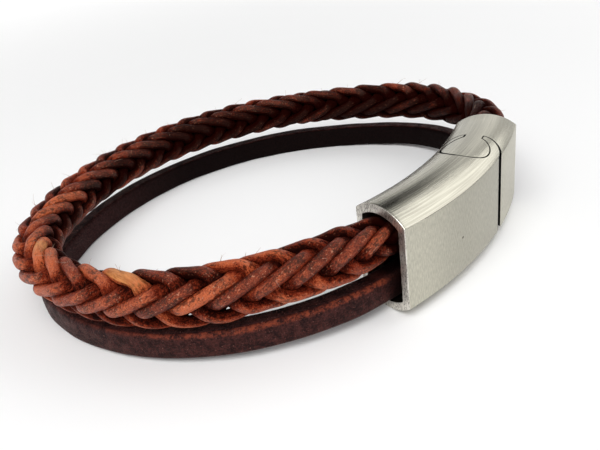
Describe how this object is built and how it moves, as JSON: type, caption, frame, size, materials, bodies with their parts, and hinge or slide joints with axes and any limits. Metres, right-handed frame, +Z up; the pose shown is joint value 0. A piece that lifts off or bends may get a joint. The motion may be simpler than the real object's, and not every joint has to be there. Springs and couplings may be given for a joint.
{
  "type": "leather bracelet",
  "caption": "Double-row leather bracelet: a round braided cord above a flat strap, both held in a curved two-part steel clasp whose halves interlock.",
  "frame": {"origin": "on the floor plane that the bracelet lies on, under the middle of its bounding box", "axes": "+Z up, along the way the wrist goes through; the clasp is at the front, facing -Y, with its long half towards -X and its short half towards +X; the braid is above the flat strap"},
  "size_m": [0.0784, 0.067, 0.0151],
  "materials": {
    "clasp_steel": "brushed along the clasp on the rounded sides, fine satin on the flat outer face",
    "strap_leather": "smooth waxed dark brown leather with a worn reddish edge",
    "braid_leather": "waxed reddish brown leather cord with fine pits and soft highlights"
  },
  "bodies": {
    "root": {"clasp_long_half": "clasp_steel", "clasp_short_half": "clasp_steel", "flat_strap": "strap_leather", "braid_strand_1": "braid_leather", "braid_strand_2": "braid_leather", "braid_strand_3": "braid_leather", "braid_strand_4": "braid_leather", "braid_strand_5": "braid_leather", "braid_strand_6": "braid_leather", "braid_strand_7": "braid_leather", "braid_strand_8": "braid_leather"}
  },
  "joints": []
}
